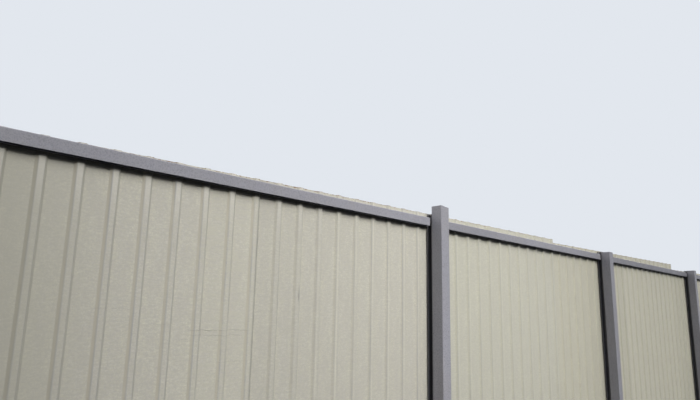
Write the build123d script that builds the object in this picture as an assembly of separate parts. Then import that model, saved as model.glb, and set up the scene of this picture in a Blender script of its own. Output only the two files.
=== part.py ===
from build123d import *
import math
import os

# A run of steel sheet fence in five bays: square posts in front, a rail across each bay,
# and lapped ribbed sheets that run on behind the posts and stand a little above the rails.
# All sizes are in millimetres. X runs along the fence and Z is up.
# Y points from the post side, which is seen in use, to the sheet side.
# The origin is the middle of the first post's foot, at ground level.

# Bays
bay_count = 5
post_spacing = 1976.0

# Posts, square tube with a welded plate in the foot and a flush cap
post_width = 60.0
post_wall = 2.0
post_corner = 3.0
foot_plate = 5.0
cap_thickness = 3.0

# Top of each post above the top rail, cut by eye on site
post_rises = [20.0, 52.0, 13.0, 18.0, 30.0, 24.0]

# How much lower each post's top ends up on its right, where the saw ran off
post_falls = [0.0, 6.0, 0.0, 0.0, 0.0, 0.0]

# Channels that space the sheets off the back of the posts
channel_depth = 27.0
channel_wall = 2.0
channel_rise = 18.0

# Rails, folded channel open downwards, set back a little from the post's rear face
rail_top = 2000.0
lower_rail_top = 240.0
rail_face = 40.0
rail_setback = 2.0
rail_wall = 2.0
rail_end_gap = 0.3

# The rails' front flanges are cut back at both ends, clear of the posts
rail_flange_relief = 8.0

# Ribbed sheets
sheet_thickness = 0.6
rib_pitch = 104.0
rib_height = 8.0
rib_crown = 18.0
rib_flank_run = 8.0
pitches_per_sheet = 11
first_lap = 945.0
sheet_foot = 30.0

# Laps: the next sheet's first rib nests behind the last rib of the sheet before it
lap_clearance = 0.4
lap_lip = 12.0
lap_edge_clearance = 0.8

# Top edge of each sheet above the top rail, at its left and its right end
sheet_rises = [
    (5.0, 15.0),
    (15.0, 26.0),
    (26.0, 37.0),
    (15.0, 34.0),
    (34.0, 53.0),
    (6.0, 27.0),
    (27.0, 48.0),
    (10.0, 28.0),
    (28.0, 43.0),
]

# Inside radius of the frame's folds; the thin sheets' folds are left crisp
frame_fold = 2.0

# Faces that pieces share
post_back = post_width / 2
sheet_front = post_back + channel_depth
pan_front = sheet_front + rib_height
fence_left = -post_width / 2
fence_right = bay_count * post_spacing + post_width / 2
post_centres = [number * post_spacing for number in range(bay_count + 1)]


def unit(start, end):
    """Direction from one point to the next."""
    length = math.dist(start, end)
    return ((end[0] - start[0]) / length, (end[1] - start[1]) / length)


def offset_path(points, distance):
    """The path moved sideways to the left of its direction, mitred at its corners."""
    directions = [unit(start, end) for start, end in zip(points, points[1:])]
    before = [directions[0]] + directions
    after = directions + [directions[-1]]
    moved = []
    for point, first, second in zip(points, before, after):
        stretch = distance / (1 + first[0] * second[0] + first[1] * second[1])
        moved.append((
            point[0] - (first[1] + second[1]) * stretch,
            point[1] + (first[0] + second[0]) * stretch,
        ))
    return moved


def folded_section(points, thickness, inside_radius):
    """Section of a folded channel, with its thickness on the left of the path."""
    near = points
    far = offset_path(points, thickness)
    near_radii = []
    far_radii = []
    for before, corner, after in zip(points, points[1:], points[2:]):
        first = unit(before, corner)
        second = unit(corner, after)
        turns_left = first[0] * second[1] - first[1] * second[0] > 0
        near_radii.append(inside_radius + thickness if turns_left else inside_radius)
        far_radii.append(inside_radius if turns_left else inside_radius + thickness)
    near_edge = FilletPolyline(near, radius=near_radii)
    far_edge = FilletPolyline(far, radius=far_radii)
    first_end = Line(near[0], far[0])
    last_end = Line(near[-1], far[-1])
    return make_face(near_edge.edges() + far_edge.edges() + first_end.edges() + last_end.edges())


def crisp_section(points, thickness):
    """Section of a thin sheet with crisp folds, with its thickness on the left of the path."""
    outline = points + offset_path(points, thickness)[::-1]
    return make_face(Polyline(outline, close=True))


def write(shape, node):
    """Save one piece under its node's name."""
    shape.label = node
    export_step(shape, f"parts/{node}.step")


def post_top(number):
    """Height of the top of a post in its middle, cap included."""
    return rail_top + post_rises[number % len(post_rises)]


def saw_cut(number, drop):
    """Plane of a post's top, or of a cut that far below it."""
    rake = -post_falls[number % len(post_falls)] / post_width
    place = (post_centres[number], 0, post_top(number) - drop)
    return Plane(place, x_dir=(1, 0, rake), z_dir=(-rake, 0, 1))


def post_blank(number):
    """Solid bar with a post's outline, left long at its top."""
    outline = RectangleRounded(post_width, post_width, post_corner)
    return Pos(post_centres[number], 0, 0) * extrude(outline, post_top(number) + post_width)


def post(number):
    """Square tube with rounded corners, closed at its foot."""
    bore = post_width - 2 * post_wall
    hollow = extrude(RectangleRounded(bore, bore, post_corner - post_wall), post_top(number) + post_width)
    tube = post_blank(number) - Pos(post_centres[number], 0, foot_plate) * hollow
    return split(tube, bisect_by=saw_cut(number, cap_thickness), keep=Keep.BOTTOM)


def post_cap(number):
    """Plate welded flush over the open end of a post."""
    end = split(post_blank(number), bisect_by=saw_cut(number, cap_thickness), keep=Keep.TOP)
    return split(end, bisect_by=saw_cut(number, 0), keep=Keep.BOTTOM)


def back_channel(number, side):
    """Channel up the back of a post, open to the bay on its left (-1) or its right (+1)."""
    lips = side * post_width / 2
    front_to_back = [(lips, post_back), (0, post_back), (0, sheet_front), (lips, sheet_front)]
    path = front_to_back if side < 0 else front_to_back[::-1]
    section = folded_section(path, channel_wall, frame_fold)
    channel = extrude(section, rail_top + channel_rise - sheet_foot)
    return Pos(post_centres[number], 0, sheet_foot) * channel


def rail(bay, top):
    """Channel across a bay, open downwards, between the channels on its two posts."""
    left = post_centres[bay] + post_width / 2 + rail_end_gap
    right = post_centres[bay + 1] - post_width / 2 - rail_end_gap
    front = post_back + rail_setback
    foot = top - rail_face
    path = [(sheet_front, foot), (sheet_front, top), (front, top), (front, foot)]
    section = Plane.YZ * folded_section(path, rail_wall, frame_fold)
    channel = Pos(left, 0, 0) * extrude(section, right - left)
    notch = Box(2 * rail_flange_relief, 2 * (rail_wall + frame_fold), 3 * rail_face)
    return channel - Pos(left, front, top) * notch - Pos(right, front, top) * notch


def rib(centre):
    """Corners of a rib's front face, from its left foot to its right foot."""
    half_crown = rib_crown / 2
    half_foot = half_crown + rib_flank_run
    return [
        (centre - half_foot, pan_front),
        (centre - half_crown, sheet_front),
        (centre + half_crown, sheet_front),
        (centre + half_foot, pan_front),
    ]


def nested_rib(centre):
    """Corners of the rib that nests behind a lap, with the lip that runs on behind the pan."""
    nominal = rib(centre)
    lip_end = (nominal[0][0] - lap_lip, pan_front)
    set_back = sheet_thickness + lap_clearance
    lip, left_foot, left_crown, right_crown, right_foot = offset_path([lip_end] + nominal, set_back)
    slope = rib_flank_run / rib_height
    landing = (right_foot[0] + (pan_front - right_foot[1]) * slope, pan_front)
    return [lip, left_foot, left_crown, right_crown, landing]


def lapping_rib(centre):
    """Corners of the last rib, whose right flank stops just short of the next sheet's pan."""
    left_foot, left_crown, right_crown, right_foot = rib(centre)
    slope = rib_flank_run / rib_height
    edge = (right_foot[0] - lap_edge_clearance * slope, pan_front - lap_edge_clearance)
    return [left_foot, left_crown, right_crown, edge]


def lap_places():
    """Where the sheets lap, from left to right."""
    cover = pitches_per_sheet * rib_pitch
    places = []
    place = first_lap
    while place < fence_right - rib_pitch:
        places.append(place)
        place += cover
    return places


def whole_sheet(left_lap, right_lap):
    """Path of a sheet's front face, run on by a pitch at an end that has no lap."""
    if left_lap is None:
        spare = math.ceil((right_lap - fence_left) / rib_pitch)
        start = right_lap - spare * rib_pitch
        path = [(start - rib_pitch / 2, pan_front)] + rib(start)
    else:
        start = left_lap
        path = nested_rib(start)
    end = right_lap
    if right_lap is None:
        end = start + math.ceil((fence_right - start) / rib_pitch) * rib_pitch
    for number in range(1, round((end - start) / rib_pitch)):
        path += rib(start + number * rib_pitch)
    if right_lap is None:
        path += rib(end) + [(end + rib_pitch / 2, pan_front)]
    else:
        path += lapping_rib(end)
    return path


def sheet(number, left_lap, right_lap):
    """One ribbed sheet with its raked top, cut flush with the fence's end where it has no lap."""
    left = fence_left if left_lap is None else left_lap
    right = fence_right if right_lap is None else right_lap
    left_rise, right_rise = sheet_rises[number % len(sheet_rises)]
    section = crisp_section(whole_sheet(left_lap, right_lap), sheet_thickness)
    tallest = rail_top + max(left_rise, right_rise) + rib_pitch
    blank = Pos(0, 0, sheet_foot) * extrude(section, tallest - sheet_foot)
    if left_lap is None:
        blank = split(blank, bisect_by=Plane((left, 0, 0), z_dir=(1, 0, 0)), keep=Keep.TOP)
    if right_lap is None:
        blank = split(blank, bisect_by=Plane((right, 0, 0), z_dir=(1, 0, 0)), keep=Keep.BOTTOM)
    rake = (right_rise - left_rise) / (right - left)
    top_cut = Plane((left, 0, rail_top + left_rise), x_dir=(1, 0, rake), z_dir=(-rake, 0, 1))
    return split(blank, bisect_by=top_cut, keep=Keep.BOTTOM)


os.makedirs("parts", exist_ok=True)

for number in range(bay_count + 1):
    write(post(number), f"post_{number + 1}")
    write(post_cap(number), f"post_cap_{number + 1}")
    write(back_channel(number, -1), f"back_channel_left_{number + 1}")
    write(back_channel(number, 1), f"back_channel_right_{number + 1}")

for bay in range(bay_count):
    write(rail(bay, rail_top), f"top_rail_{bay + 1}")
    write(rail(bay, lower_rail_top), f"lower_rail_{bay + 1}")

laps = lap_places()
for number, (left_lap, right_lap) in enumerate(zip([None] + laps, laps + [None])):
    write(sheet(number, left_lap, right_lap), f"sheet_{number + 1}")
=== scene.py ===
import math
import random
from typing import NamedTuple

import bpy
from mathutils import Matrix, Vector


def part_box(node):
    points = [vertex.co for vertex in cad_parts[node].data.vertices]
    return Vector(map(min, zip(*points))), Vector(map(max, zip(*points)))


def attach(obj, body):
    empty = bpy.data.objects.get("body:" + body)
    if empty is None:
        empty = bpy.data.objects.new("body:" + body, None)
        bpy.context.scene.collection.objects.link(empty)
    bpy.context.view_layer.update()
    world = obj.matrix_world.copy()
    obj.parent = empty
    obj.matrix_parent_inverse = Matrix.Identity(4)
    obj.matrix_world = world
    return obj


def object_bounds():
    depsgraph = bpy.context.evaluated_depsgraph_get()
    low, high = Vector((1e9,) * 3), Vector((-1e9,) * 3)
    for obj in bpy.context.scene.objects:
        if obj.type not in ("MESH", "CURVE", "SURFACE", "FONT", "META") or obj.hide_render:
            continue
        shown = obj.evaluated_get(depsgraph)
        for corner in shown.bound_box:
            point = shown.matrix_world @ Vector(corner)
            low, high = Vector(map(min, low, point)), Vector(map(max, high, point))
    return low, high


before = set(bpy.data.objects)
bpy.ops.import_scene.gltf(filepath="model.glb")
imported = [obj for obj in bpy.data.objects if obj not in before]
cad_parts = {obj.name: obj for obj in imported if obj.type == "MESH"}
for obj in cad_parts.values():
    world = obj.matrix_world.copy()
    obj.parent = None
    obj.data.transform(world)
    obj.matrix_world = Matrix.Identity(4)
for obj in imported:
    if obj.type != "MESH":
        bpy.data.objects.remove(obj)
cad_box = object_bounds()

# Everything is in metres, in the part's own frame: X along the fence, Y from the posts to the sheets.
# These sizes repeat the part's.
BAY_COUNT = 5
POST_SPACING = 1.976
POST_WIDTH = 0.060
SHEET_FRONT = 0.057
SHEET_THICKNESS = 0.0006
RIB_PITCH = 0.104
RIB_CROWN = 0.018
RIB_FLANK_RUN = 0.008
PITCHES_PER_SHEET = 11
FIRST_LAP = 0.945
LAP_LIP = 0.012
LAP_CLEARANCE = 0.0004
RAIL_FACE = 0.040
RAIL_TOPS = {"top": 2.000, "lower": 0.240}

# Distance from a rib's middle to the edge of its crown, and to its foot
CROWN_EDGE = RIB_CROWN / 2
FOOT_EDGE = CROWN_EDGE + RIB_FLANK_RUN

# Camera of the photograph
EYE = Vector((-0.240, -1.659, 1.521))
HEADING = math.radians(44.045)
PITCH = math.radians(11.55)
ROLL = math.radians(1.18)
LENS_MM = 29.403
SENSOR_MM = 36.0
NEAR_CLIP = 0.05
FAR_CLIP = 200.0

# Paints, as display colours out of 255
FRAME_GREY = (160, 160, 169)
SHEET_CREAM = (205, 203, 187)
SHEET_COOL = (199, 197, 190)
RUST_BROWN = (112, 76, 50)
# Dark for dirt, and for the painted shade under the top rail and beside the laps
GRIME_AND_SHADE_DARK = (70, 68, 64)
DUST_TAN = (158, 147, 126)
ZINC_GREY = (150, 152, 153)
RUBBER_DARK = (46, 46, 47)
RUBBER_DUSTY = (64, 63, 61)
FLOOR_PALE = (197, 198, 198)
BACKDROP_PALE = (226, 231, 238)

# Share of the colour for each sheet, each post and each bay's rails; the posts' and the rails' shares hold
# both tone that differs from piece to piece and painted shade
SHEET_TONES = (1.0, 0.972, 0.965, 0.962, 1.0, 0.98, 1.0, 0.96, 0.99)
POST_TONE_AND_SHADE = (0.99, 0.95, 0.85, 0.87, 0.92, 0.93)
RAIL_TONE_AND_SHADE = (0.955, 0.88, 0.80, 0.82, 0.87)

# The same for the channels behind the posts, darkened as painted shade in the recess behind the posts
CHANNEL_SHADE_TONE = 0.55


def linear(colour):
    """A display colour out of 255 as the linear RGBA that shaders take."""
    shares = [channel / 255 for channel in colour]
    return tuple(s / 12.92 if s <= 0.04045 else ((s + 0.055) / 1.055) ** 2.4 for s in shares) + (1.0,)


def scaled(colour, share):
    """A display colour made lighter or darker."""
    return tuple(channel * share for channel in colour)


def tinted(colour, shares):
    """A display colour with each channel scaled by its own share."""
    return tuple(channel * share for channel, share in zip(colour, shares))


# Shader helpers

NO_SHIFT = (0.0, 0.0, 0.0)


class Patches(NamedTuple):
    """Noise, in waves a metre along X, Y and Z, and the span over which it goes from faint to strong."""

    scale: tuple
    detail: float
    roughness: float
    low: float
    high: float


class Graph:
    """A material's node graph, with short ways to add the nodes that the paints use."""

    def __init__(self, name):
        self.material = bpy.data.materials.new(name)
        self.material.use_nodes = True
        self.tree = self.material.node_tree
        self.tree.nodes.clear()
        self.output = self.tree.nodes.new("ShaderNodeOutputMaterial")
        self.place = self.add("ShaderNodeTexCoord").outputs["Object"]
        self.colour = None

    def add(self, kind, inputs=None, **settings):
        """A node with its settings and inputs, each a value or another node's output."""
        node = self.tree.nodes.new(kind)
        for name, value in settings.items():
            setattr(node, name, value)
        for socket, value in (inputs or {}).items():
            self.fill(node.inputs[socket], value)
        return node

    def fill(self, socket, value):
        """Sets a socket to a value, or links it to another node's output."""
        if isinstance(value, bpy.types.NodeSocket):
            self.tree.links.new(value, socket)
        else:
            socket.default_value = value

    def math(self, operation, first, second=0.0, third=0.0):
        """The result of one sum."""
        node = self.add("ShaderNodeMath", {0: first, 1: second, 2: third}, operation=operation)
        return node.outputs[0]

    def product(self, first, *others):
        """The values multiplied together."""
        for value in others:
            first = self.math("MULTIPLY", first, value)
        return first

    def distance(self, first, second):
        """How far apart two values are."""
        return self.math("ABSOLUTE", self.math("SUBTRACT", first, second))

    def coordinate(self, axis):
        """The place on the object along one axis."""
        return self.add("ShaderNodeSeparateXYZ", {"Vector": self.place}).outputs[axis]

    def normal(self, axis):
        """The face's direction along one axis."""
        geometry = self.add("ShaderNodeNewGeometry").outputs["True Normal"]
        return self.add("ShaderNodeSeparateXYZ", {"Vector": geometry}).outputs[axis]

    def noise(self, scale, detail=4.0, roughness=0.55, shift=NO_SHIFT):
        """Noise from 0 to 1; scale is in waves a metre along X, Y and Z."""
        place = self.add("ShaderNodeMapping", {"Vector": self.place, "Scale": scale, "Location": shift})
        node = self.add("ShaderNodeTexNoise", {
            "Vector": place.outputs["Vector"], "Scale": 1.0, "Detail": detail, "Roughness": roughness,
        })
        return node.outputs["Fac"]

    def range(self, value, low, high, to_low=0.0, to_high=1.0, smooth=True):
        """A value eased from one range into another."""
        node = self.add("ShaderNodeMapRange", {
            "Value": value, "From Min": low, "From Max": high, "To Min": to_low, "To Max": to_high,
        }, interpolation_type="SMOOTHSTEP" if smooth else "LINEAR")
        return node.outputs["Result"]

    def patches(self, kind, faint=0.0, strong=1.0, shift=NO_SHIFT):
        """Patches of one kind, with what they are worth where they are faint and where they are strong."""
        noise = self.noise(kind.scale, kind.detail, kind.roughness, shift)
        return self.range(noise, kind.low, kind.high, faint, strong)

    def mix(self, share, first, second):
        """One linear colour mixed into another."""
        node = self.add("ShaderNodeMix", {"Factor": share}, data_type="RGBA")
        self.fill(node.inputs[6], first)
        self.fill(node.inputs[7], second)
        return node.outputs[2]

    def undercoat(self, share, first, second):
        """Starts the paint with one display colour mixed into another."""
        self.colour = self.mix(share, linear(first), linear(second))

    def cover(self, share, colour):
        """Mixes a display colour over the paint so far."""
        self.colour = self.mix(share, self.colour, linear(colour))

    def worn_edge(self, radius):
        """Near 1 within about a radius of an outside edge, and 0 on the flat."""
        rounded = self.add("ShaderNodeBevel", {"Radius": radius}, samples=4).outputs["Normal"]
        flat = self.add("ShaderNodeNewGeometry").outputs["Normal"]
        turn = self.add("ShaderNodeVectorMath", {0: rounded, 1: flat}, operation="DOT_PRODUCT")
        return self.range(turn.outputs["Value"], 0.999, 0.93)

    def bumps(self, *layers, normal=None):
        """Bumps laid on one another, each a height from 0 to 1 and its depth in metres."""
        for height, depth in layers:
            inputs = {"Height": height, "Distance": depth, "Strength": 1.0}
            if normal is not None:
                inputs["Normal"] = normal
            normal = self.add("ShaderNodeBump", inputs).outputs["Normal"]
        return normal

    def surface(self, roughness, normal, specular=0.5):
        """The finished material."""
        shader = self.add("ShaderNodeBsdfPrincipled", {
            "Base Color": self.colour, "Roughness": roughness, "Metallic": 0.0,
            "Specular IOR Level": specular, "Normal": normal,
        })
        self.tree.links.new(shader.outputs["BSDF"], self.output.inputs["Surface"])
        return self.material


# Paint of the frame

FRAME_CLOUDS = Patches((1.1, 1.1, 0.8), 3.0, 0.55, 0.35, 0.70)
FRAME_STREAKS = Patches((38.0, 38.0, 1.6), 4.0, 0.60, 0.50, 0.85)
FRAME_SPECKLE = Patches((420.0, 420.0, 420.0), 2.0, 0.55, 0.35, 0.80)
FRAME_FRECKLES = Patches((210.0, 210.0, 210.0), 4.0, 0.70, 0.42, 0.72)
FRAME_SPECKS = Patches((95.0, 95.0, 70.0), 1.0, 0.55, 0.735, 0.775)
FRAME_DUST = Patches((9.0, 9.0, 5.0), 6.0, 0.65, 0.45, 0.80)
FRAME_CHIPS = Patches((70.0, 70.0, 46.0), 5.0, 0.70, 0.60, 0.68)
FRAME_TOP_GRIME = Patches((60.0, 60.0, 60.0), 5.0, 0.55, 0.35, 0.70)
FRAME_SHEEN = Patches((26.0, 26.0, 14.0), 4.0, 0.55, 0.30, 0.75)
FRAME_EDGE_REACH = 0.0016

# Share of dust at the ground, and from this height up
DUST_AT_GROUND = 0.55
DUST_ABOVE = 0.12
DUST_HEIGHT = 0.45


def frame_paint(name, tone):
    """Mid grey satin paint on the posts, channels and rails, faintly dusty, chipped at a few edges."""
    paint = Graph(name)
    grey = scaled(FRAME_GREY, tone)
    paint.undercoat(paint.patches(FRAME_CLOUDS), scaled(grey, 0.955), scaled(grey, 1.03))
    paint.cover(paint.patches(FRAME_STREAKS, 0.0, 0.22), scaled(grey, 0.90))
    paint.cover(paint.patches(FRAME_SPECKLE, 0.0, 0.16), scaled(grey, 0.86))
    paint.cover(paint.patches(FRAME_FRECKLES, 0.0, 0.95), scaled(grey, 0.81))
    paint.cover(paint.patches(FRAME_SPECKS, 0.0, 0.55), scaled(DUST_TAN, 0.62))

    dust_share = paint.range(paint.coordinate("Z"), 0.0, DUST_HEIGHT, DUST_AT_GROUND, DUST_ABOVE)
    paint.cover(paint.product(paint.patches(FRAME_DUST), dust_share), DUST_TAN)
    chips = paint.product(paint.worn_edge(FRAME_EDGE_REACH), paint.patches(FRAME_CHIPS))
    paint.cover(paint.product(chips, 0.85), RUST_BROWN)
    flat_top = paint.range(paint.normal("Z"), 0.7, 0.95)
    grime = paint.product(flat_top, paint.patches(FRAME_TOP_GRIME, 0.15, 0.60))
    paint.cover(grime, scaled(DUST_TAN, 0.70))

    roughness = paint.math("ADD", paint.patches(FRAME_SHEEN, 0.42, 0.56), paint.product(chips, 0.3))
    normal = paint.bumps(
        (paint.noise((330.0, 330.0, 330.0), 2.0), 0.00006),
        (paint.noise((7.0, 7.0, 3.0), 2.0), 0.0005),
        (paint.math("SUBTRACT", 1.0, chips), 0.00012),
    )
    return paint.surface(roughness, normal, specular=0.3)


# Paint of the sheets

class Texture(NamedTuple):
    """Patches all over a sheet: their largest share, their colour as a tint of the cream or the cool
    base colour, and how deep they stand in the paint, in metres."""

    patches: Patches
    share: float
    base: str
    tint: tuple
    depth: float


# From the first layer to the last
SHEET_TEXTURES = {
    "mottle": Texture(
        Patches((26.0, 20.0, 13.0), 4.0, 0.65, 0.42, 0.62),
        share=0.80, base="cool", tint=(0.962, 0.955, 0.953), depth=0.0,
    ),
    "rolled": Texture(
        Patches((260.0, 0.0, 14.0), 3.0, 0.60, 0.35, 0.75),
        share=0.60, base="cream", tint=(0.93, 0.93, 0.93), depth=0.00006,
    ),
    "chatter": Texture(
        Patches((9.0, 0.0, 80.0), 4.0, 0.70, 0.46, 0.70),
        share=0.60, base="cream", tint=(0.92, 0.92, 0.92), depth=0.00018,
    ),
    "dashes": Texture(
        Patches((50.0, 0.0, 165.0), 4.0, 0.70, 0.42, 0.66),
        share=0.75, base="cool", tint=(0.893, 0.890, 0.885), depth=0.00008,
    ),
    "weave": Texture(
        Patches((70.0, 60.0, 190.0), 3.0, 0.65, 0.40, 0.66),
        share=0.70, base="cream", tint=(0.922, 0.917, 0.911), depth=0.00016,
    ),
    "grain": Texture(
        Patches((210.0, 210.0, 210.0), 3.0, 0.70, 0.40, 0.64),
        share=0.70, base="cool", tint=(0.906, 0.903, 0.898), depth=0.00008,
    ),
    "runs": Texture(
        Patches((46.0, 0.0, 0.9), 5.0, 0.60, 0.52, 0.82),
        share=0.30, base="cream", tint=(0.90, 0.90, 0.90), depth=0.0,
    ),
}

SHEET_CLOUDS = Patches((1.4, 1.4, 0.9), 4.0, 0.50, 0.30, 0.75)
SHEET_BANDS = Patches((24.0, 0.0, 1.3), 4.0, 0.60, 0.40, 0.66)
FLANK_SHADE_PATCHES = Patches((14.0, 0.0, 2.5), 4.0, 0.60, 0.30, 0.70)
FOLD_LINE_BREAKS = Patches((30.0, 0.0, 4.0), 3.0, 0.60, 0.30, 0.70)
EDGE_BITES = Patches((95.0, 95.0, 40.0), 5.0, 0.70, 0.42, 0.72)
EDGE_STAINS = Patches((60.0, 0.0, 7.0), 4.0, 0.60, 0.50, 0.80)
SPLASH_TOPS = Patches((5.0, 5.0, 0.0), 4.0, 0.60, 0.30, 0.80)
SPLASH_SPOTS = Patches((80.0, 80.0, 80.0), 5.0, 0.70, 0.35, 0.70)
HIGHLIGHT_PATCHES = Patches((9.0, 0.0, 1.2), 3.0, 0.60, 0.40, 0.60)
LAP_GRIME_AND_SHADE = Patches((0.0, 0.0, 22.0), 4.0, 0.55, 0.30, 0.60)
DENT_RAGGEDNESS = Patches((160.0, 160.0, 60.0), 3.0, 0.55, 0.30, 0.70)

# How far the noise is moved along X, Y and Z from one sheet to the next
SHEET_SHIFT = (3.7, 0.0, 1.9)

# Slow waves in the sheets, and the fine pitting of their paint
WAVE_SCALE = (2.2, 0.0, 1.5)
WAVE_DEPTH = 0.0022
PITTING_SCALE = (700.0, 700.0, 700.0)
PITTING_DEPTH = 0.00003

# Reach of the rounding on either side of a fold, and of the blend between a rib's two sides
FOLD_REACH = 0.0025
SIDE_BLEND = 0.001

# The upright bands are weaker within this strip beside a rib, which fades in and out again
BESIDE_RIB_START = (CROWN_EDGE - 0.002, CROWN_EDGE + 0.004)
BESIDE_RIB_END = (0.040, 0.022)
BESIDE_RIB_LOSS = 0.50

# Painted shade on the ribs' left and right flanks, and where on a flank it fades in and out
LEFT_FLANK_SHADE_TINT = (0.944, 0.930, 0.932)
RIGHT_FLANK_SHADE_TINT = (0.890, 0.890, 0.920)
FLANK_START = (CROWN_EDGE - 0.0010, CROWN_EDGE + 0.0015)
FLANK_END = (FOOT_EDGE + 0.0010, FOOT_EDGE - 0.0010)

# Painted shade: dark lines along both edges of the crowns
FOLD_SHADE_TINT = (0.80, 0.81, 0.85)
RIGHT_LINE_REACH = 0.0016

# The second sheet's left lines grow along X from the first share to the second
LINES_GROW = (1.10, 1.70)
LINES_GROW_SHARES = (0.15, 0.75)


class Wear(NamedTuple):
    """What differs from sheet to sheet: the tint of its colours, the painted shade's share on the left and
    the right flanks, the shift and the reach of the painted shade line on a crown's left edge, and how
    strong the painted shade lines on both edges are."""

    warmth: tuple
    flank_shade: tuple
    left_line: tuple
    line_strength: float


SHEET_WEAR = {
    1: Wear((1.0, 1.0, 1.0), (1.0, 1.0), (-0.0004, 0.0044), 1.0),
    2: Wear((1.0, 1.0, 1.0), (0.2, 0.6), (0.0018, 0.0036), 1.0),
    3: Wear((0.995, 1.0, 0.988), (0.25, 0.25), (0.0, 0.0046), 0.55),
}
FAR_WEAR = Wear((1.0, 1.0, 0.975), (0.25, 0.25), (0.0, 0.0046), 0.35)

# Stains reach this far below the top edge; the rust bites in between the least and the most
STAIN_REACH = 0.055
LEAST_BITE = 0.0002
MOST_BITE = 0.0065
BITE_BLEND = 0.0012

# Lowest and highest tops of the splashes above the ground, and the depth over which they thicken
SPLASH_HEIGHTS = (0.10, 0.42)
SPLASH_FADE = 0.25
SPLASH_SHARE = 0.42

# Where along X the painted shade at the first sheet's left end, and its ripples, fade in
LEFT_END_SHADE = (0.52, 0.10)
RIPPLES_START = (0.66, 0.80)
RIPPLE_DEPTH = 0.00025

# Creases across the first sheet: left end, right end, height and how deep each one is
CREASES = (
    (0.690, 0.945, 1.469, 1.0),
    (0.700, 0.930, 1.452, 0.8),
    (0.655, 0.725, 1.438, 0.6),
    (0.385, 0.520, 1.531, 0.4),
    (0.560, 0.640, 1.487, 0.4),
    (0.780, 0.940, 1.365, 0.5),
)
CREASE_HALF_WIDTH = 0.0022
CREASE_DEPTH = 0.0007
CREASE_LEFT_FADE = 0.03
CREASE_RIGHT_FADE = 0.02
CREASE_WANDER = 0.006
CREASE_WANDER_SCALE = (22.0, 0.0, 0.0)

# Painted highlight lines along the crowns, which fade in along X: by sheet, the line's left and right
# edge off the rib's middle, and its strength
HIGHLIGHT_START = (1.15, 1.35)
HIGHLIGHT_LINES = {2: (-0.0065, 0.0030, 1.0), 3: (-0.0030, 0.0070, 0.5)}
HIGHLIGHT_LEFT_FADE = 0.002
HIGHLIGHT_RIGHT_FADE = 0.004

# Painted light on the crowns below the top rail, which fades in with height: by sheet, where along X it
# fades out
LIGHT_CROWN_HEIGHTS = (1.78, 1.93)
LIGHT_CROWN_SHARE = 0.36
LIGHT_CROWN_EDGE = (CROWN_EDGE + 0.001, CROWN_EDGE - 0.002)
LIGHT_CROWN_ENDS = {1: (0.88, 0.91), 2: (0.85, 1.55)}

# A knock on one rib's crown: its place along X and Z, its reach each way and its depth
DENT = (1.1595, 1.596)
DENT_REACH = (0.0055, 0.034)
DENT_DEPTH = 0.002

# Dirt and painted shade beside a lap's edge, and painted shade on a lapping rib's right: distances along X
LAP_LINE_START = (-0.0030, -0.0012)
LAP_LINE_END = (0.0034, 0.0010)
LAP_SHADE_START = (0.0045, 0.0085)
LAP_SHADE_SHARE = 0.16

# Heights at which the painted shade under the top rail fades in and out
RAIL_SHADE_FOOT = (1.943, 1.954)
RAIL_SHADE_TOP = (1.980, 1.972)
RAIL_SHADE_SHARE = 0.8

# A face whose direction is at least this much along Y is the sheet's face, and not its cut edge
FACE_LEAST_Y = 0.4


def top_edge(node):
    """Height of a sheet's raked top edge at X = 0, and its rise along X, read from its corners."""
    corners = [vertex.co for vertex in node.data.vertices]
    left = min(corner.x for corner in corners)
    right = max(corner.x for corner in corners)
    reach = RIB_PITCH / 4
    left_top = max((corner for corner in corners if corner.x < left + reach), key=lambda corner: corner.z)
    right_top = max((corner for corner in corners if corner.x > right - reach), key=lambda corner: corner.z)
    rise = (right_top.z - left_top.z) / (right_top.x - left_top.x)
    return left_top.z - rise * left_top.x, rise


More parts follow.
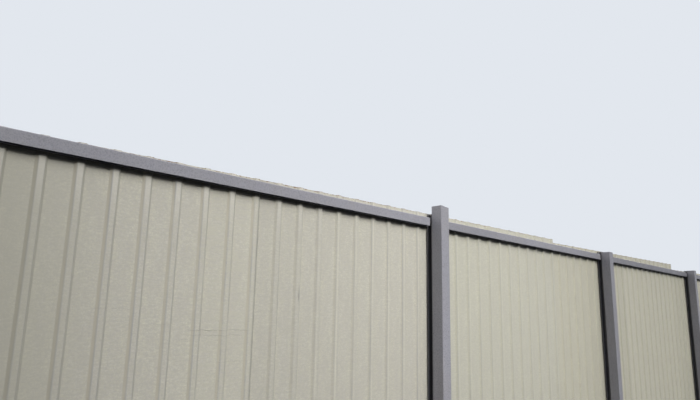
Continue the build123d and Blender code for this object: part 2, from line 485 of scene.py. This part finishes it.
class SheetPaint(Graph):
    """Cream-grey coil coating on one sheet, built up in layers: texture, painted shade and light, rust and
    handling marks.
    """

    def __init__(self, node, number):
        super().__init__(f"sheet_paint_{number}")
        tone = SHEET_TONES[number - 1]
        self.number = number
        self.wear = SHEET_WEAR.get(number, FAR_WEAR)
        self.cream = tinted(scaled(SHEET_CREAM, tone), self.wear.warmth)
        self.cool = tinted(scaled(SHEET_COOL, tone), self.wear.warmth)
        self.shift = tuple(step * number for step in SHEET_SHIFT)
        self.left_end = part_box(node.name)[0][0]
        self.right_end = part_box(node.name)[1][0]
        self.top_height, self.top_rise = top_edge(node)
        self.along = self.coordinate("X")
        self.up = self.coordinate("Z")
        self.on_front = self.math("LESS_THAN", self.normal("Y"), 0.0)
        self.offset = self.from_rib()
        self.away = self.math("ABSOLUTE", self.offset)
        self.textures = {}
        self.relief = []

    def from_rib(self):
        """Distance from the middle of the nearest rib, to the right of it when positive."""
        from_lap = self.math("SUBTRACT", self.along, FIRST_LAP)
        return self.math("WRAP", from_lap, RIB_PITCH / 2, -RIB_PITCH / 2)

    def own_patches(self, kind, faint=0.0, strong=1.0):
        """Patches that lie differently on every sheet."""
        return self.patches(kind, faint, strong, self.shift)

    def by_side(self, left, right):
        """One value to the left of a rib's middle, and another to the right of it."""
        return self.range(self.offset, -SIDE_BLEND, SIDE_BLEND, left, right)

    def base_coat(self):
        """Cream that is cooler in upright bands, and the textures over it."""
        self.undercoat(self.own_patches(SHEET_CLOUDS), scaled(self.cream, 0.975), scaled(self.cream, 1.02))
        beside_rib = self.product(
            self.range(self.away, *BESIDE_RIB_START),
            self.range(self.away, *BESIDE_RIB_END),
        )
        bands = self.own_patches(SHEET_BANDS, 0.40, 0.92)
        self.cover(self.math("MULTIPLY_ADD", beside_rib, -BESIDE_RIB_LOSS, bands), self.cool)

        bases = {"cream": self.cream, "cool": self.cool}
        self.relief.append((self.noise(WAVE_SCALE, 2.0, 0.4, self.shift), WAVE_DEPTH))
        for name, (kind, share, base, tint, depth) in SHEET_TEXTURES.items():
            noise = self.noise(kind.scale, kind.detail, kind.roughness, self.shift)
            self.cover(self.range(noise, kind.low, kind.high, 0.0, share), tinted(bases[base], tint))
            self.textures[name] = noise
            if depth > 0:
                self.relief.append((noise, depth))
        self.relief.append((self.noise(PITTING_SCALE, 2.0), PITTING_DEPTH))

    def paint_flank_shade(self):
        """Painted shade on the ribs' flanks, on the front only."""
        flank = self.product(
            self.range(self.away, *FLANK_START),
            self.range(self.away, *FLANK_END),
        )
        flank_shade = self.product(
            self.own_patches(FLANK_SHADE_PATCHES, 0.6, 1.0),
            self.by_side(*self.wear.flank_shade),
            self.on_front,
        )
        flank_shade_colour = self.mix(
            self.by_side(0.0, 1.0),
            linear(tinted(self.cream, LEFT_FLANK_SHADE_TINT)),
            linear(tinted(self.cream, RIGHT_FLANK_SHADE_TINT)),
        )
        self.colour = self.mix(self.product(flank, flank_shade), self.colour, flank_shade_colour)

    def fold_shade_lines(self):
        """Painted shade as a dark line along both edges of each crown, stronger and weaker by turns."""
        left_shift, left_reach = self.wear.left_line
        line_place = self.by_side(CROWN_EDGE + left_shift, CROWN_EDGE)
        line_reach = self.by_side(left_reach, RIGHT_LINE_REACH)
        from_line = self.math("DIVIDE", self.distance(self.away, line_place), line_reach)
        line = self.product(
            self.range(from_line, 1.0, 0.0),
            self.own_patches(FOLD_LINE_BREAKS, 0.25, 0.75),
            self.wear.line_strength,
        )
        if self.number == 2:
            left_share = self.range(self.along, *LINES_GROW, *LINES_GROW_SHARES)
            line = self.product(line, self.by_side(left_share, 1.0))
        self.cover(line, tinted(self.cool, FOLD_SHADE_TINT))

    def top_edge_wear(self):
        """Stains under the raked top edge, and rust that bites into it; returns the rust's share."""
        edge = self.math("ADD", self.product(self.along, self.top_rise), self.top_height)
        below = self.math("SUBTRACT", edge, self.up)
        stain = self.product(
            self.range(below, STAIN_REACH, 0.0),
            self.own_patches(EDGE_STAINS, 0.0, 0.5),
        )
        self.cover(stain, scaled(DUST_TAN, 0.85))
        bite = self.own_patches(EDGE_BITES, LEAST_BITE, MOST_BITE)
        rust = self.range(self.math("SUBTRACT", bite, below), 0.0, BITE_BLEND)
        self.cover(self.product(rust, 0.8), RUST_BROWN)
        return rust

    def splashes(self):
        """Dust that rain has splashed up from the ground."""
        above = self.math("SUBTRACT", self.up, self.own_patches(SPLASH_TOPS, *SPLASH_HEIGHTS))
        splash = self.range(above, 0.0, -SPLASH_FADE, 0.0, SPLASH_SHARE)
        self.cover(self.product(splash, self.own_patches(SPLASH_SPOTS, 0.4, 1.0)), DUST_TAN)

    def shade_left_end(self):
        """Painted shade: the first sheet is darker towards its left end."""
        self.cover(self.range(self.along, *LEFT_END_SHADE, 0.0, 0.55), scaled(self.cream, 0.84))

    def ripples(self):
        """Ripples from the rolling, on the front towards the first sheet's right end."""
        rippled = self.product(
            self.range(self.along, *RIPPLES_START),
            self.range(self.textures["chatter"], 0.42, 0.62),
            self.on_front,
        )
        self.relief.append((rippled, RIPPLE_DEPTH))
        self.cover(self.product(rippled, 0.45), scaled(self.cream, 0.93))

    def creases(self):
        """Shallow lines that were folded across the sheet in handling."""
        noise = self.noise(CREASE_WANDER_SCALE, 3.0)
        wander = self.range(noise, 0.2, 0.8, -CREASE_WANDER, CREASE_WANDER, smooth=False)
        wandering = self.math("ADD", self.up, wander)
        total = 0.0
        for left, right, height, depth in CREASES:
            line = self.range(self.distance(wandering, height), CREASE_HALF_WIDTH, 0.0, 0.0, depth)
            inside = self.product(
                self.range(self.along, left, left + CREASE_LEFT_FADE),
                self.range(self.along, right, right - CREASE_RIGHT_FADE),
            )
            total = self.math("ADD", self.product(line, inside), total)
        self.relief.append((total, CREASE_DEPTH))
        self.cover(self.product(total, 0.30), scaled(self.cool, 0.72))

    def highlighted_crowns(self):
        """A painted highlight: a bright line along the crowns here and there."""
        left, right, strength = HIGHLIGHT_LINES[self.number]
        highlight = self.product(
            self.range(self.offset, left, left + HIGHLIGHT_LEFT_FADE),
            self.range(self.offset, right, right - HIGHLIGHT_RIGHT_FADE),
            self.patches(HIGHLIGHT_PATCHES, 0.05, 0.45),
            self.range(self.along, *HIGHLIGHT_START),
            strength,
        )
        self.cover(highlight, scaled(self.cream, 1.03))

    def painted_light_on_crowns(self):
        """Painted light: the crowns' fronts are lighter towards the top rail."""
        fade_from, fade_to = LIGHT_CROWN_ENDS[self.number]
        on_crown = self.product(self.range(self.away, *LIGHT_CROWN_EDGE), self.on_front)
        below_rail = self.product(
            self.range(self.up, *LIGHT_CROWN_HEIGHTS, 0.0, LIGHT_CROWN_SHARE),
            self.range(self.along, fade_to, fade_from),
        )
        self.cover(self.product(on_crown, below_rail), scaled(self.cool, 1.065))

    def dent(self):
        """A knock on one crown, deepest in its middle and ragged towards its rim."""
        across = self.math("DIVIDE", self.math("SUBTRACT", self.along, DENT[0]), DENT_REACH[0])
        upward = self.math("DIVIDE", self.math("SUBTRACT", self.up, DENT[1]), DENT_REACH[1])
        squares = self.math("ADD", self.product(across, across), self.product(upward, upward))
        share = self.product(self.range(squares, 1.0, 0.0), self.patches(DENT_RAGGEDNESS, 0.45, 1.0))
        self.relief.append((self.math("SUBTRACT", 1.0, share), DENT_DEPTH))
        self.cover(self.product(share, 0.6), scaled(self.cool, 0.70))

    def left_lap_dirt_and_shade(self):
        """Dirt and painted shade on the pan along the edge of the sheet that laps over this one's first rib.
        """
        first_rib_middle = self.left_end + LAP_LIP + FOOT_EDGE
        beyond = self.math("SUBTRACT", self.along, first_rib_middle + FOOT_EDGE)
        line = self.product(
            self.range(beyond, *LAP_LINE_START),
            self.range(beyond, *LAP_LINE_END),
        )
        self.cover(self.product(line, self.patches(LAP_GRIME_AND_SHADE, 0.12, 0.35)), GRIME_AND_SHADE_DARK)

    def right_lap_shade(self):
        """Painted shade on the right of this sheet's last rib, where it laps over the next sheet."""
        last_rib_middle = self.right_end - FOOT_EDGE
        beyond = self.math("SUBTRACT", self.along, last_rib_middle)
        self.cover(self.range(beyond, *LAP_SHADE_START, 0.0, LAP_SHADE_SHARE), GRIME_AND_SHADE_DARK)

    def shade_under_rail(self):
        """Painted shade on the front in the gap under the top rail."""
        band = self.product(
            self.range(self.up, *RAIL_SHADE_FOOT),
            self.range(self.up, *RAIL_SHADE_TOP, 0.0, RAIL_SHADE_SHARE),
        )
        self.cover(self.product(band, self.on_front), scaled(GRIME_AND_SHADE_DARK, 0.5))

    def folded_normal(self):
        """Normal with the folds rounded, as rolls leave them, over the crisp folds of the mesh."""
        rise = self.range(self.away, CROWN_EDGE - FOLD_REACH, CROWN_EDGE + FOLD_REACH)
        fall = self.range(self.away, FOOT_EDGE - FOLD_REACH, FOOT_EDGE + FOLD_REACH)
        slope = self.product(self.math("SUBTRACT", rise, fall), self.math("SIGN", self.offset))
        side = self.math("SIGN", self.normal("Y"))
        across = self.product(slope, side, -1.0)
        rounded = self.add("ShaderNodeCombineXYZ", {"X": across, "Y": side, "Z": 0.0}).outputs[0]
        unit = self.add("ShaderNodeVectorMath", {0: rounded}, operation="NORMALIZE").outputs[0]
        on_face = self.math("GREATER_THAN", self.math("ABSOLUTE", self.normal("Y")), FACE_LEAST_Y)
        flat = self.add("ShaderNodeNewGeometry").outputs["Normal"]
        chosen = self.add("ShaderNodeMix", {"Factor": on_face}, data_type="VECTOR")
        self.tree.links.new(flat, chosen.inputs[4])
        self.tree.links.new(unit, chosen.inputs[5])
        return chosen.outputs[1]

    def finished(self, rust):
        """The finished material, rougher where it has rusted."""
        sheen = self.own_patches(SHEET_CLOUDS, 0.40, 0.52)
        roughness = self.math("ADD", sheen, self.product(rust, 0.35))
        normal = self.bumps(*self.relief, normal=self.folded_normal())
        return self.surface(roughness, normal, specular=0.25)


def sheet_paint(node, number):
    """One sheet's paint, from the base coat to the last mark."""
    paint = SheetPaint(node, number)
    paint.base_coat()
    paint.paint_flank_shade()
    paint.fold_shade_lines()
    rust = paint.top_edge_wear()
    paint.splashes()
    if number == 1:
        paint.shade_left_end()
        paint.ripples()
        paint.creases()
    if number in HIGHLIGHT_LINES:
        paint.highlighted_crowns()
    if number in LIGHT_CROWN_ENDS:
        paint.painted_light_on_crowns()
    if number == 2:
        paint.dent()
    if number > 1:
        paint.left_lap_dirt_and_shade()
    if number < len(SHEET_TONES):
        paint.right_lap_shade()
    paint.shade_under_rail()
    return paint.finished(rust)


# Paint and rubber of the screws

HEAD_CLOUDS = Patches((30.0, 30.0, 30.0), 3.0, 0.55, 0.30, 0.70)
HEAD_WEAR = Patches((600.0, 600.0, 600.0), 3.0, 0.55, 0.45, 0.60)
HEAD_SHEEN = Patches((200.0, 200.0, 200.0), 3.0, 0.55, 0.30, 0.70)
HEAD_EDGE_REACH = 0.0006
RUBBER_CLOUDS = Patches((300.0, 300.0, 300.0), 3.0, 0.55, 0.30, 0.70)
RUBBER_SHEEN = Patches((500.0, 500.0, 500.0), 2.0, 0.55, 0.30, 0.70)


def screw_paint():
    """Painted screw heads, matched to the sheets, a little worn to the zinc."""
    paint = Graph("screw_paint")
    paint.undercoat(paint.patches(HEAD_CLOUDS), scaled(SHEET_CREAM, 0.88), scaled(SHEET_CREAM, 0.98))
    paint.cover(paint.product(paint.worn_edge(HEAD_EDGE_REACH), paint.patches(HEAD_WEAR)), ZINC_GREY)
    normal = paint.bumps((paint.noise((900.0, 900.0, 900.0), 2.0), 0.00004))
    return paint.surface(paint.patches(HEAD_SHEEN, 0.36, 0.50), normal)


def washer_rubber():
    """Dark sealing washers under the screw heads."""
    rubber = Graph("washer_rubber")
    rubber.undercoat(rubber.patches(RUBBER_CLOUDS), RUBBER_DARK, RUBBER_DUSTY)
    normal = rubber.bumps((rubber.noise((800.0, 800.0, 800.0), 2.0), 0.00008))
    return rubber.surface(rubber.patches(RUBBER_SHEEN, 0.60, 0.75), normal)


# The paint goes onto the CAD nodes

def repaint(node, material):
    """Gives a CAD node one material."""
    node.data.materials.clear()
    node.data.materials.append(material)


post_paints = [frame_paint(f"frame_paint_{number}", tone) for number, tone in enumerate(POST_TONE_AND_SHADE, start=1)]
rail_paints = [frame_paint(f"rail_paint_{number}", tone) for number, tone in enumerate(RAIL_TONE_AND_SHADE, start=1)]
# The inner channels are painted dark, as painted shade in the recess behind the posts
shaded_channel_paint = frame_paint("shaded_channel_paint", CHANNEL_SHADE_TONE)

# The channels at the fence's two ends face outwards, and are painted like their posts, without the painted
# shade
outer_channels = ("back_channel_left_1", f"back_channel_right_{BAY_COUNT + 1}")

sheet_nodes = []
for name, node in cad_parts.items():
    place = int(name.rsplit("_", 1)[1]) - 1
    if name.startswith("sheet_"):
        sheet_nodes.append(node)
    elif name.startswith("post_") or name in outer_channels:
        repaint(node, post_paints[place])
    elif name.startswith("back_channel_"):
        repaint(node, shaded_channel_paint)
    else:
        repaint(node, rail_paints[place])

sheet_nodes.sort(key=lambda node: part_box(node.name)[0][0])
for number, node in enumerate(sheet_nodes, start=1):
    repaint(node, sheet_paint(node, number))


# Screws on the far side, where the sheets are fixed to the rails and to the posts' channels

SCREW_SIDES = 6
ROUND_SIDES = 16
SHANK_SIDES = 8
WASHER_RADIUS = 0.0072
WASHER_DEPTH = 0.0012
FLANGE_RADIUS = 0.0055
FLANGE_DEPTH = 0.0009
HEAD_RADIUS = 0.0046
HEAD_DEPTH = 0.0036
SHANK_RADIUS = 0.0024
SHANK_DEPTH = 0.0150
SHANK_START = 0.0001
TIP_RADIUS = 0.0003
TIP_DEPTH = 0.0045

# The washer narrows from this share of its depth on, and the head over this last share of its own
WASHER_SHOULDER = 0.6
HEAD_BEVEL = 0.15

# Share of the radius that is left at the outer end of each part
WASHER_RIM = 0.9
FLANGE_RIM = 0.96
HEAD_RIM = 0.86

# A screw every second rib along the rails, and three up each post
SCREW_EVERY = 2
SCREW_JITTER = 0.004
POST_SCREW_HEIGHTS = (0.62, 1.10, 1.58)


def lathe(rings, sides, turn=0.0):
    """Corners and faces of a closed solid turned about Y, from rings of (Y, radius)."""
    corners = []
    for depth, radius in rings:
        for side in range(sides):
            angle = turn + 2 * math.pi * side / sides
            corners.append((radius * math.cos(angle), depth, radius * math.sin(angle)))
    faces = [tuple(range(sides))]
    for ring in range(len(rings) - 1):
        for side in range(sides):
            follow = (side + 1) % sides
            low = ring * sides
            high = low + sides
            faces.append((low + side, high + side, high + follow, low + follow))
    last = (len(rings) - 1) * sides
    faces.append(tuple(range(last + sides - 1, last - 1, -1)))
    return corners, faces


def screw_solids(turn):
    """A hex screw and its washer on the sheet's far face at Y = 0, head towards +Y, tip towards -Y."""
    seat = WASHER_DEPTH
    flange = seat + FLANGE_DEPTH
    top = flange + HEAD_DEPTH
    washer = lathe([
        (0.0, WASHER_RADIUS),
        (seat * WASHER_SHOULDER, WASHER_RADIUS),
        (seat, WASHER_RADIUS * WASHER_RIM),
    ], ROUND_SIDES)
    skirt = lathe([
        (seat, FLANGE_RADIUS),
        (flange, FLANGE_RADIUS * FLANGE_RIM),
    ], ROUND_SIDES)
    head = lathe([
        (flange, HEAD_RADIUS),
        (top - HEAD_DEPTH * HEAD_BEVEL, HEAD_RADIUS),
        (top, HEAD_RADIUS * HEAD_RIM),
    ], SCREW_SIDES, turn)
    shank = lathe([
        (-SHANK_DEPTH - TIP_DEPTH, TIP_RADIUS),
        (-SHANK_DEPTH, SHANK_RADIUS),
        (-SHANK_START, SHANK_RADIUS),
    ], SHANK_SIDES)
    return [(washer, 1), (skirt, 0), (head, 0), (shank, 0)]


def joined(name, solids, materials):
    """One mesh from many closed solids, each with its place and its material's number."""
    corners = []
    faces = []
    numbers = []
    for (solid_corners, solid_faces), place, number in solids:
        first = len(corners)
        corners += [tuple(Vector(corner) + place) for corner in solid_corners]
        faces += [tuple(first + index for index in face) for face in solid_faces]
        numbers += [number] * len(solid_faces)
    mesh = bpy.data.meshes.new(name)
    mesh.from_pydata(corners, [], faces)
    for material in materials:
        mesh.materials.append(material)
    mesh.polygons.foreach_set("material_index", numbers)
    mesh.validate()
    mesh.update()
    piece = bpy.data.objects.new(name, mesh)
    bpy.context.scene.collection.objects.link(piece)
    return piece


screw_random = random.Random(11)
screw_materials = [screw_paint(), washer_rubber()]


def screws(name, places):
    """One mesh of the screws at these places, each turned its own way."""
    solids = []
    for place in places:
        for solid, number in screw_solids(screw_random.uniform(0, math.tau / SCREW_SIDES)):
            solids.append((solid, place, number))
    piece = joined(name, solids, screw_materials)
    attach(piece, "root")


fence_left, fence_right = cad_box[0][0], cad_box[1][0]
first_rib = FIRST_LAP - math.floor((FIRST_LAP - fence_left) / RIB_PITCH) * RIB_PITCH
rib_count = math.floor((fence_right - first_rib) / RIB_PITCH) + 1
ribs = [first_rib + number * RIB_PITCH for number in range(rib_count)]
post_centres = [number * POST_SPACING for number in range(BAY_COUNT + 1)]


def is_lap(rib):
    """Whether two sheets overlap at this rib."""
    steps = round((rib - FIRST_LAP) / RIB_PITCH)
    return steps >= 0 and steps % PITCHES_PER_SHEET == 0


def screw_place(rib, height):
    """The point on the sheets' far face that a screw's washer lies on."""
    far_face = SHEET_FRONT + SHEET_THICKNESS
    nested = SHEET_THICKNESS + LAP_CLEARANCE if is_lap(rib) else 0.0
    return Vector((rib, far_face + nested, height))


rail_ribs = [rib for number, rib in enumerate(ribs) if number % SCREW_EVERY == 1 or is_lap(rib)]
clear_ribs = [rib for rib in rail_ribs if min(abs(rib - centre) for centre in post_centres) > POST_WIDTH / 2]
for label, top in RAIL_TOPS.items():
    height = top - RAIL_FACE / 2
    shifts = [screw_random.uniform(-SCREW_JITTER, SCREW_JITTER) for rib in clear_ribs]
    places = [screw_place(rib, height + shift) for rib, shift in zip(clear_ribs, shifts)]
    screws(f"{label}_rail_screws", places)

# The rib nearest to the middle of each post's right half, if it lies on the post's channels
post_ribs = [min(ribs, key=lambda rib: abs(rib - centre - POST_WIDTH / 4)) for centre in post_centres]
channel_ribs = [rib for rib, centre in zip(post_ribs, post_centres) if abs(rib - centre) < POST_WIDTH / 2]
screws("post_screws", [screw_place(rib, height) for rib in channel_ribs for height in POST_SCREW_HEIGHTS])


# Floor, light and camera

FLOOR_REACH = 60.0
FLOOR_DROP = 0.0005
FLOOR_BOUNCE = 0.012
FLOOR_CLOUDS = Patches((3.0, 3.0, 3.0), 4.0, 0.55, 0.30, 0.70)

# The sky's light, and the span over which it comes in above the level, where straight up is 1
SKY_COLOUR = (0.925, 0.94, 1.0, 1.0)
SKY_STRENGTH = 0.745
SKY_FROM = 0.20
SKY_FULL = 0.46

# Lamps on the front. Bearing, height and spread are in degrees.
LAMP_WHITE = (1.0, 0.985, 0.95)
LAMP_DISTANCE = 8.0
SOFTBOXES = {
    "key": dict(aim=(2.0, 0.0, 1.9), bearing=-11, height=29, size=(3.0, 1.6), power=31.5, spread=43),
    "upper_key": dict(aim=(2.0, 0.0, 1.9), bearing=-11, height=43, size=(3.0, 2.4), power=19.5, spread=43),
    "middle_key": dict(aim=(6.0, 0.0, 1.2), bearing=-15, height=33, size=(3.0, 4.0), power=43.0, spread=60),
    "end_key": dict(aim=(9.1, 0.0, 1.2), bearing=-15, height=33, size=(3.0, 4.0), power=46.0, spread=52),
}

# Even light on the back and the ends, in degrees too
SKYLIGHTS = {
    "back_fill": dict(bearing=180, height=30, power=2.7, breadth=50),
    "right_fill": dict(bearing=108, height=22, power=1.0, breadth=30),
    "left_fill": dict(bearing=-112, height=12, power=0.45, breadth=30),
}


def floor():
    """A plain pale floor that throws little light back up, as the dark ground in the photograph does."""
    mesh = bpy.data.meshes.new("floor")
    reach = FLOOR_REACH
    centre = (fence_left + fence_right) / 2
    left = centre - reach
    right = centre + reach
    corners = [(left, -reach), (right, -reach), (right, reach), (left, reach)]
    mesh.from_pydata([(x, y, -FLOOR_DROP) for x, y in corners], [], [(0, 1, 2, 3)])

    graph = Graph("floor_pale")
    path = graph.add("ShaderNodeLightPath").outputs
    shown = graph.math("MAXIMUM", path["Is Camera Ray"], path["Is Glossy Ray"])
    shown = graph.math("MAXIMUM", shown, path["Is Transmission Ray"])
    seen = graph.mix(graph.patches(FLOOR_CLOUDS), linear(scaled(FLOOR_PALE, 0.99)), linear(FLOOR_PALE))
    graph.colour = graph.mix(shown, (FLOOR_BOUNCE, FLOOR_BOUNCE, FLOOR_BOUNCE, 1.0), seen)
    normal = graph.bumps((graph.noise((90.0, 90.0, 90.0), 3.0), 0.0002))
    mesh.materials.append(graph.surface(0.9, normal, specular=0.0))

    plane = bpy.data.objects.new("floor", mesh)
    bpy.context.scene.collection.objects.link(plane)


def sky():
    """Soft light from all round above the horizon, and a plain pale backdrop where the camera sees it."""
    world = bpy.data.worlds.new("sky")
    bpy.context.scene.world = world
    world.use_nodes = True
    tree = world.node_tree
    tree.nodes.clear()
    output = tree.nodes.new("ShaderNodeOutputWorld")
    path = tree.nodes.new("ShaderNodeLightPath")
    direction = tree.nodes.new("ShaderNodeTexCoord")
    split = tree.nodes.new("ShaderNodeSeparateXYZ")
    tree.links.new(direction.outputs["Generated"], split.inputs[0])
    above = tree.nodes.new("ShaderNodeMapRange")
    above.inputs["From Min"].default_value = SKY_FROM
    above.inputs["From Max"].default_value = SKY_FULL
    above.inputs["To Max"].default_value = SKY_STRENGTH
    tree.links.new(split.outputs["Z"], above.inputs["Value"])
    lit = tree.nodes.new("ShaderNodeBackground")
    lit.inputs["Color"].default_value = SKY_COLOUR
    tree.links.new(above.outputs["Result"], lit.inputs["Strength"])
    shown = tree.nodes.new("ShaderNodeBackground")
    shown.inputs["Color"].default_value = linear(BACKDROP_PALE)
    mixed = tree.nodes.new("ShaderNodeMixShader")
    seen = path.outputs["Is Camera Ray"]
    for other in ("Is Glossy Ray", "Is Transmission Ray"):
        either = tree.nodes.new("ShaderNodeMath")
        either.operation = "MAXIMUM"
        tree.links.new(seen, either.inputs[0])
        tree.links.new(path.outputs[other], either.inputs[1])
        seen = either.outputs[0]
    tree.links.new(seen, mixed.inputs["Fac"])
    tree.links.new(lit.outputs[0], mixed.inputs[1])
    tree.links.new(shown.outputs[0], mixed.inputs[2])
    tree.links.new(mixed.outputs[0], output.inputs["Surface"])


def towards_lamp(bearing, height):
    """Direction to a lamp at a bearing off the fence's front and a height above the level, in degrees."""
    turn = math.radians(bearing)
    lift = math.radians(height)
    return Vector((math.sin(turn) * math.cos(lift), -math.cos(turn) * math.cos(lift), math.sin(lift)))


def hang(name, lamp, towards):
    """Puts a lamp in the scene, shining away from the direction that it lies in."""
    light = bpy.data.objects.new(name, lamp)
    light.rotation_euler = towards.to_track_quat("Z", "Y").to_euler()
    bpy.context.scene.collection.objects.link(light)
    return light


def softbox(name, aim, bearing, height, size, power, spread):
    """A large soft lamp aimed from a bearing off the fence's front, its beam held in by a grid."""
    lamp = bpy.data.lights.new(name, "AREA")
    lamp.shape = "RECTANGLE"
    lamp.size, lamp.size_y = size
    lamp.energy = power
    lamp.spread = math.radians(spread)
    lamp.color = LAMP_WHITE
    towards = towards_lamp(bearing, height)
    hang(name, lamp, towards).location = Vector(aim) + LAMP_DISTANCE * towards


def skylight(name, bearing, height, power, breadth):
    """Even soft light from one wide part of the sky."""
    lamp = bpy.data.lights.new(name, "SUN")
    lamp.energy = power
    lamp.angle = math.radians(breadth)
    lamp.color = LAMP_WHITE
    hang(name, lamp, towards_lamp(bearing, height))


def camera():
    """The photograph's camera."""
    lens = bpy.data.cameras.new("camera")
    lens.lens = LENS_MM
    lens.sensor_width = SENSOR_MM
    lens.clip_start = NEAR_CLIP
    lens.clip_end = FAR_CLIP
    eye = bpy.data.objects.new("camera", lens)
    heading = Matrix.Rotation(-HEADING, 4, "Z")
    pitch = Matrix.Rotation(math.pi / 2 + PITCH, 4, "X")
    roll = Matrix.Rotation(ROLL, 4, "Z")
    eye.matrix_world = Matrix.Translation(EYE) @ heading @ pitch @ roll
    bpy.context.scene.collection.objects.link(eye)
    bpy.context.scene.camera = eye


floor()
sky()
for name, settings in SOFTBOXES.items():
    softbox(name, **settings)
for name, settings in SKYLIGHTS.items():
    skylight(name, **settings)
camera()
bpy.context.scene.view_settings.view_transform = "Standard"
